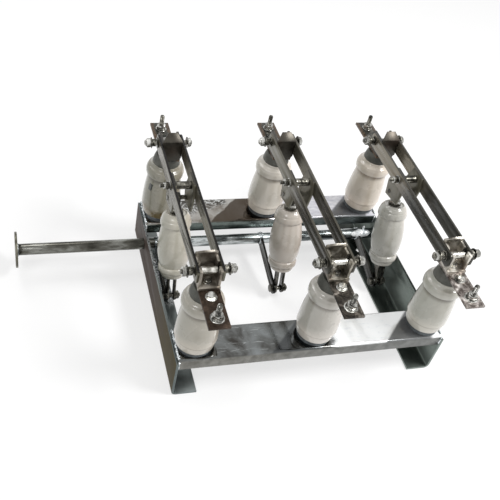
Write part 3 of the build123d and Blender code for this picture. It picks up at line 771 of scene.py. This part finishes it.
# ---- pull rods
crank_pin = mid("crank_pins")
ROD = chain((0.0, 0.0), (0.0212, 0.0), ((0.0236, 0.0008), (0.0254, 0.0046)),
            ((0.026, 0.008), (0.0248, 0.0112)), (0.0252, 0.012), (0.028, 0.0126),
            ((0.031, 0.015), (0.0313, 0.02)), ((0.0307, 0.025), (0.0284, 0.0272)),
            ((0.035, 0.069), (0.0288, 0.12)), ((0.0284, 0.1214), (0.029, 0.1222)),
            (0.0306, 0.1226), ((0.0322, 0.124), (0.0323, 0.1285)),
            ((0.0318, 0.133), (0.0304, 0.1362)), ((0.0284, 0.143), (0.0236, 0.149)),
            ((0.0224, 0.1502), (0.0208, 0.15)), (0.0192, 0.148), (0.0, 0.148))
# Distances along the rod from the crank pin: the porcelain's foot and the lock nut.
ROD_FOOT, LOCK_NUT = 0.0535, 0.206
for phase in PHASES:
    pull = JOINT[f"rod_{phase}_swing"]
    foot = Vector((pull.x, crank_pin.y, crank_pin.z))
    up = (pull - foot).normalized()
    bm = bmesh.new()
    lathe(bm, ROD, axes_frame(foot + up * ROD_FOOT, up), 96)
    node = f"rod_insulator_{phase}"
    finish_mesh(bm, 50, f"pull_rod_porcelain_{phase}", f"rod_{phase}", M[node],
                (node,))
    bevelled_copy(f"rod_fork_{phase}", f"rod_clevis_{phase}", 0.0006, M["fitting"],
                  f"rod_{phase}", M["edge_steel"])
    bevelled_copy(f"rod_lug_{phase}", f"rod_eye_{phase}", 0.0008, M["fitting"],
                  f"rod_{phase}", M["edge_steel"])
    bm = bmesh.new()
    hexagon(bm, axes_frame(foot + up * LOCK_NUT, up), 0.0235, 0.0075)
    finish_mesh(bm, 30, f"rod_lock_nut_{phase}", f"rod_{phase}", M["zinc"])

# ---- frame, bars, contacts, blades
# The left end of the photographed frame stands this much further out than the solids.
OUT = 0.005


def spread(obj, limit):
    """Moves the vertices left of a limit out by OUT."""
    for vertex in obj.data.vertices:
        if vertex.co.x < limit:
            vertex.co.x -= OUT
    return obj


rail_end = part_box("front_rail")[0].x + 0.004
for node, name, width, finish, limit in (
        ("side_member_left", "left_angle", 0.0009, "member_left", 0.0),
        ("side_member_right", "right_angle", 0.0009, "member_right", 0.0),
        ("front_rail", "front_channel", 0.0008, "front_rail", rail_end),
        ("rear_rail", "rear_channel", 0.0008, "rear_rail", rail_end)):
    spread(bevelled_copy(node, name, width, M[finish], "frame",
                         M["edge_steel"]), limit)
# The terminals' rounded edges take pale copper: polish with a painted highlight.
bevelled_copy("terminals", "terminal_bars", 0.0005, M["terminal"], "frame",
              M["edge_polish_highlight"])
disc_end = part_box("shaft_flange")[1].x + 0.004
spread(bevelled_copy("operating_shaft", "shaft_bar", 0.0008, M["shaft"], "shaft",
                     M["edge_steel"]), disc_end)
spread(bevelled_copy("shaft_flange", "shaft_disc", 0.0008, M["flange"], "shaft"),
       disc_end)
# The cranks' rounded edges are pale steel as a painted highlight.
bevelled_copy("cranks", "crank_arms", 0.0012, M["crank"], "shaft",
              M["edge_steel_highlight"])
for phase in PHASES:
    # From the second phase on, rounded edges are pale copper: polish with a painted highlight.
    edge = M["edge_copper"] if phase == "a" else M["edge_polish_highlight"]
    bevelled_copy(f"hinge_contact_{phase}", f"hinge_copper_{phase}", 0.0006, M["hinge_contact"],
                  "frame", M["edge_copper"])
    bevelled_copy(f"jaw_contact_{phase}", f"jaw_copper_{phase}", 0.0006, M[f"jaw_{phase}"],
                  "frame", edge)
    bevelled_copy(f"blade_pair_{phase}", f"blades_copper_{phase}", 0.0003, M[f"blade_{phase}"],
                  f"blades_{phase}", edge)
    bevelled_copy(f"pull_plates_{phase}", f"blade_plates_{phase}", 0.0004, M["plate"],
                  f"blades_{phase}", M["edge_copper"])


# ---- clamp, spacer and pull bolts
# Thicknesses of the flat and dished washers, then bolt radii, nuts and pitches by size.
WASHER, CUP = 0.0018, 0.0024
M10, M8 = 0.0049, 0.0039
M10_NUT, M10_WASHER = 0.0168, 0.0104
M10_PITCH, M8_PITCH = 0.0015, 0.00125
SPRING_ROOM = 0.011
X, LEFT = (1, 0, 0), (-1, 0, 0)


def rod(bm, matrix, radius, length, steps):
    """A plain round bar."""
    lathe(bm, [(0, 0), (radius, 0), (radius, length), (0, length)], matrix, steps)


def washer(bm, matrix, radius, thick):
    """A flat washer with rounded rims."""
    rim = 0.0004
    lathe(bm, [(0, 0), (radius - rim, 0), (radius, rim), (radius, thick - rim),
               (radius - rim, thick), (0, thick)], matrix, 40)


def cup_washer(bm, matrix, radius, thick):
    """A dished washer that opens towards the spring."""
    lathe(bm, [(0, 0.0004), (radius * 0.78, 0.0004), (radius, 0), (radius, thick * 0.35),
               (radius * 0.72, thick), (0, thick)], matrix, 40)


def dome(bm, matrix, radius, height, neck):
    """An acorn nut's end above a short straight neck."""
    lathe(bm, chain((0, 0), (radius, 0), (radius, neck),
                    ((radius * 0.86, neck + (height - neck) * 0.55),
                     (radius * 0.35, height * 0.96))) + [(0, height)], matrix, 32)


def clamp(parts, centre, seat, left, right, middle, sleeve):
    """A spring clamp along X: parts are meshes for bright, dull, spring and pale metal."""
    bright, dull, coil, pale = parts
    wide = 2 * middle
    lathe(pale if sleeve > 0.006 else dull,
          [(0, 0), (sleeve - 0.0005, 0), (sleeve, 0.0005), (sleeve, wide - 0.0005),
           (sleeve - 0.0005, wide), (0, wide)],
          axes_frame(centre - Vector((middle, 0, 0)), X), 40)
    for hand, end in ((-1, left), (1, right)):
        def at(distance):
            return axes_frame(centre + Vector((hand * (seat + distance), 0, 0)), (hand, 0, 0))
        room = end.get("gap", SPRING_ROOM)
        washer(dull, at(0.0), M10_WASHER, WASHER)
        rod(dull, at(0.0), M10, WASHER + room, 24)
        if "gap" not in end:
            spring(coil, at(WASHER), 0.0069, 0.0013, room, 3.6)
        cup_washer(dull, at(WASHER + room), 0.0116, CUP)
        start = WASHER + room + CUP
        hexagon(bright, at(start), M10_NUT, end["nut"], crown=0.0002)
        start += end["nut"]
        if "second" in end:
            hexagon(bright, at(start + 0.0002), 0.016, end["second"], crown=0.0002)
            start += end["second"] + 0.0002
        if "dome" in end:
            dome(bright, at(start), 0.0062, end["dome"], 0.001)
        else:
            threaded(dull, at(start), M10, end["thread"], M10_PITCH)


# The parts outside each spring; an end with a gap has no spring.
LONG_END = {"nut": 0.008, "dome": 0.0052}
JAW_LEFT = {"nut": 0.007, "thread": 0.0035}
JAW_RIGHT = {"nut": 0.005, "second": 0.0045, "thread": 0.0025}
THIN_END = {"gap": 0.009, "nut": 0.006, "thread": 0.0022}
# Each pair of blades has a spacer this far along Y.
SPACER_Y = 0.046
for phase in PHASES:
    body = f"blades_{phase}"
    hinge = JOINT[f"blades_{phase}_swing"]
    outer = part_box(f"blade_pair_{phase}")[1].x - hinge.x
    ear_left, ear_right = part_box(f"jaw_contact_{phase}")
    between = (ear_right.x - ear_left.x) / 2 - 0.0053
    jaw = Vector((hinge.x, -hinge.y, hinge.z))
    parts = [bmesh.new() for _ in range(4)]
    clamp(parts, jaw, outer, JAW_LEFT, JAW_RIGHT, between, 0.007)
    clamp(parts, hinge, outer, LONG_END, THIN_END, between, 0.0048)
    bright, dull, coil, pale = parts
    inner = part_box(f"pull_plates_{phase}")[1].x - hinge.x - 0.004
    spacer = Vector((hinge.x, SPACER_Y, hinge.z))

    def beside(distance, direction=-1):
        return axes_frame(spacer + Vector((direction * (outer + distance), 0, 0)),
                          (direction, 0, 0))

    lathe(dull, ridged(0.008, 0.008, 0, 2 * inner, 5, 0.0002),
          axes_frame(spacer - Vector((inner, 0, 0)), X), 40)
    washer(bright, beside(0.0), 0.0092, 0.0015)
    hexagon(dull, beside(0.0015), 0.013, 0.0062)
    hexagon(bright, beside(0.0079), 0.0128, 0.0045)
    threaded(dull, beside(0.0124), M8, 0.0074, M8_PITCH)
    lathe(dull, [(0, -0.0005), (M8, -0.0005), (M8, 0.0002), (0, 0.0004)], beside(0.0, 1), 24)
    pull = JOINT[f"rod_{phase}_swing"]
    half = inner + 0.0049
    lathe(dull, [(0, 0), (0.0043, 0), (0.005, 0.0006), (0.005, 2 * half - 0.0006),
                 (0.0043, 2 * half), (0, 2 * half)],
          axes_frame(pull - Vector((half, 0, 0)), X), 36)
    finish_mesh(bright, 30, f"clamp_nuts_{phase}", body, M["zinc"],
                (f"blade_bolts_{phase}",))
    finish_mesh(dull, 30, f"clamp_bolts_{phase}", body, M["zinc_dark"])
    finish_mesh(coil, 60, f"clamp_springs_{phase}", body, M["spring"])
    finish_mesh(pale, 30, f"jaw_sleeve_{phase}", body, M["sleeve"])

# ---- terminal bolts
# Distances outward from the contacts: the bolt of the contact's foot and the stud.
LINK, STUD = 0.039, 0.087
contact_y = JOINT["blades_a_swing"].y
terminal_low, terminal_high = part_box("terminals")


def lifted(matrix, height, turn=0.0):
    """A place further along local Z, turned about it."""
    return matrix @ Matrix.Translation((0, 0, height)) @ Matrix.Rotation(turn, 4, "Z")


for row, side in SIDES.items():
    node = f"terminal_bolts_{row}"
    bright, dull = bmesh.new(), bmesh.new()
    for phase in PHASES:
        x = JOINT[f"blades_{phase}_swing"].x
        link_y, stud_y = side * (contact_y + LINK), side * (contact_y + STUD)

        def above(y, height=0.0):
            return Matrix.Translation((x, y, terminal_high.z + height))

        def below(y):
            return Matrix.Translation((x, y, terminal_low.z)) @ Matrix.Rotation(math.pi, 4, "X")

        spot = above(mid(f"post_{row}_{phase}").y, 0.005)
        washer(bright, spot, 0.008, 0.0013)
        hexagon(bright, lifted(spot, 0.0013), 0.0136, 0.0056, crown=0.0004)
        spot = above(link_y)
        washer(bright, spot, 0.0108, 0.0014)
        hexagon(bright, lifted(spot, 0.0014, 0.3), 0.0142, 0.0058, crown=0.0004)
        threaded(dull, below(link_y), M8, 0.0019, M8_PITCH)
        spot = above(stud_y)
        wide = 0.0134 if side < 0 else 0.0118
        washer(bright, spot, wide, 0.0014)
        lathe(dull, [(0, 0.0014), (wide - 0.0026, 0.0014), (wide - 0.0022, 0.002),
                     (wide - 0.003, 0.003), (0, 0.003)], spot, 40)
        hexagon(bright, lifted(spot, 0.003, 0.15), 0.0176, 0.0084, crown=0.0002)
        threaded(dull, lifted(spot, 0.0114), 0.005, 0.0226, 0.00175, 24)
        hexagon(bright, below(stud_y), 0.0188, 0.0078)
    finish_mesh(bright, 30, f"terminal_nuts_{row}", "frame", M["zinc"], (node,))
    finish_mesh(dull, 30, f"terminal_studs_{row}", "frame",
                M["thread"] if row == "front" else M["zinc_dark"])

# ---- crank pins and welds
# Distances from a phase's middle to the crank's two faces and to the fork's far side.
CRANK_OUT, CRANK_IN, FORK = 0.0143, 0.0093, 0.0093
NUT = 0.0063
bright, dull = bmesh.new(), bmesh.new()
for phase in PHASES:
    x = JOINT[f"blades_{phase}_swing"].x

    def pin(distance, along=X):
        return axes_frame((x + distance, crank_pin.y, crank_pin.z), along)

    hexagon(bright, pin(-CRANK_OUT, LEFT), M10_NUT, NUT, crown=0.0003)
    washer(bright, pin(FORK), M10_WASHER, WASHER)
    hexagon(bright, pin(FORK + WASHER), M10_NUT, NUT)
    threaded(dull, pin(FORK + WASHER + NUT), M10, 0.0033, M10_PITCH)
    rod(dull, pin(-CRANK_OUT), M10, CRANK_OUT + FORK, 32)
finish_mesh(bright, 30, "crank_pin_nuts", "shaft", M["zinc_dark"],
            ("crank_pins",))
finish_mesh(dull, 30, "crank_pin_bolts", "shaft", M["zinc_dark"])

shaft = JOINT["shaft_turn"]
# A leaf-shaped lump of weld with a short stub lies on the shaft at the third crank.
LEAF_START, LEAF_LONG, LEAF_HALF = -0.033, 0.056, 0.0104
third = JOINT["blades_c_swing"].x
leaf = [(0, LEAF_START)]
for k in range(1, 18):
    t = k / 18
    ripple = 1 + 0.08 * math.sin(t * 17)
    leaf.append((LEAF_HALF * math.sin(math.pi * t) ** 0.7 * ripple, LEAF_START + LEAF_LONG * t))
leaf.append((0, LEAF_START + LEAF_LONG))
bm = bmesh.new()
lathe(bm, leaf, axes_frame((third - 0.0005, shaft.y - 0.0075, shaft.z + 0.0068), (1, 0, 0.03)),
      20)
lathe(bm, [(0, 0), (0.0022, 0), (0.0025, 0.011), (0.0016, 0.013), (0, 0.0134)],
      Matrix.Translation((third + 0.0015, shaft.y - 0.002, shaft.z + 0.012)), 14)
finish_mesh(bm, 50, "crank_weld_lump", "shaft", M["leaf"])

weld = bmesh.new()
for number, phase in enumerate(PHASES):
    x = JOINT[f"blades_{phase}_swing"].x
    for face in (x - CRANK_OUT, x - CRANK_IN):
        ring_bead(weld, (face, shaft.y, shaft.z), 0.0126, 0.0026, number + face * 40)
flange_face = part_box("shaft_flange")[1].x - OUT
ring_bead(weld, (flange_face, shaft.y, shaft.z), 0.0126, 0.003, 7.7)
finish_mesh(weld, 70, "shaft_welds", "shaft", M["weld"])

# The corners of the frame: a run over each rail end and one down each of its two edges.
weld = bmesh.new()
for row, side in SIDES.items():
    low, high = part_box(f"{row}_rail")
    for hand in (-1, 1):
        x = low.x - OUT + 0.0006 if hand < 0 else high.x - 0.0006
        seed = 2.0 + hand + side * 0.7
        size, lump = (0.0036, 0.7) if hand < 0 else (0.0028, 0.35)
        bead(weld, (x, low.y + 0.004, high.z + 0.0002), (x, high.y - 0.004, high.z + 0.0002),
             size, seed, lump)
        bead(weld, (x, low.y, low.z + 0.002), (x, low.y, high.z - 0.003), 0.0024, seed + 0.4)
        bead(weld, (x, high.y, low.z + 0.002), (x, high.y, high.z - 0.003), 0.0022, seed + 0.8)
finish_mesh(weld, 70, "frame_welds", "frame", M["weld"])

# ---- camera
camera_data = bpy.data.cameras.new("camera")
camera = bpy.data.objects.new("camera", camera_data)
bpy.context.scene.collection.objects.link(camera)
# Where the photograph was taken from, in metres, and the camera's turn in degrees.
camera.location = (-0.5891, -1.0353, 1.2268)
camera.rotation_euler = [math.radians(a) for a in (45.921, -9.548, -13.763)]
camera_data.lens = 53.282
camera_data.shift_x = 0.0512
camera_data.shift_y = -0.0022
camera_data.sensor_width = 36.0
bpy.context.scene.camera = camera


# ---- floor, world and lamps
def seen_directly(tree):
    """1 for camera, glossy and transmission rays."""
    path = tree.nodes.new("ShaderNodeLightPath")
    total = path.outputs["Is Camera Ray"]
    for name in ("Is Glossy Ray", "Is Transmission Ray"):
        node = tree.nodes.new("ShaderNodeMath")
        node.operation = "MAXIMUM"
        tree.links.new(total, node.inputs[0])
        tree.links.new(path.outputs[name], node.inputs[1])
        total = node.outputs[0]
    return total


# The background is a white sheet. It bounces grey light, but is seen as part paper that can
# take a soft shadow and part glow that keeps it white.
BOUNCE, GLOW_SHARE = 0.82, 0.62
SKY_LIGHT, SKY_SEEN = 0.5, 1.0
bm = bmesh.new()
bmesh.ops.create_grid(bm, x_segments=4, y_segments=4, size=4.0)
floor = to_object(bm, "studio_floor")
floor.location.z = -0.0005
floor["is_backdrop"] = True
white = bpy.data.materials.new("floor_white")
white.use_nodes = True
tree = white.node_tree
tree.nodes.clear()
output = tree.nodes.new("ShaderNodeOutputMaterial")
lit = tree.nodes.new("ShaderNodeBsdfDiffuse")
lit.inputs["Color"].default_value = (BOUNCE, BOUNCE, BOUNCE, 1)
shown = tree.nodes.new("ShaderNodeBsdfDiffuse")
shown.inputs["Color"].default_value = (1, 1, 1, 1)
glow = tree.nodes.new("ShaderNodeEmission")
glow.inputs["Color"].default_value = (1, 1, 1, 1)
glow.inputs["Strength"].default_value = 1.0
sheet = tree.nodes.new("ShaderNodeMixShader")
sheet.inputs[0].default_value = GLOW_SHARE
tree.links.new(shown.outputs[0], sheet.inputs[1])
tree.links.new(glow.outputs[0], sheet.inputs[2])
choose = tree.nodes.new("ShaderNodeMixShader")
tree.links.new(seen_directly(tree), choose.inputs[0])
tree.links.new(lit.outputs[0], choose.inputs[1])
tree.links.new(sheet.outputs[0], choose.inputs[2])
tree.links.new(choose.outputs[0], output.inputs["Surface"])
floor.data.materials.append(white)

world = bpy.data.worlds.new("studio")
bpy.context.scene.world = world
world.use_nodes = True
tree = world.node_tree
background = tree.nodes["Background"]
background.inputs[0].default_value = (1, 1, 1, 1)
level = tree.nodes.new("ShaderNodeMapRange")
tree.links.new(seen_directly(tree), level.inputs["Value"])
level.inputs["To Min"].default_value = SKY_LIGHT
level.inputs["To Max"].default_value = SKY_SEEN
tree.links.new(level.outputs["Result"], background.inputs[1])


MIDDLE = Vector((0, 0, 0.15))


def lamp(name, place, size, power):
    """A round lamp aimed at the middle of the switch."""
    data = bpy.data.lights.new(name, "AREA")
    data.shape = "DISK"
    data.size = size
    data.energy = power
    obj = bpy.data.objects.new(name, data)
    bpy.context.scene.collection.objects.link(obj)
    obj.location = place
    aim = MIDDLE - Vector(place)
    obj.rotation_euler = aim.to_track_quat("-Z", "Y").to_euler()


lamp("key", (1.5, -0.7, 2.3), 1.1, 60)
lamp("fill", (-1.9, -1.2, 1.9), 0.9, 12)
lamp("back", (-1.2, 1.7, 2.3), 1.2, 16)
bpy.context.scene.view_settings.view_transform = "Standard"
low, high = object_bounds()
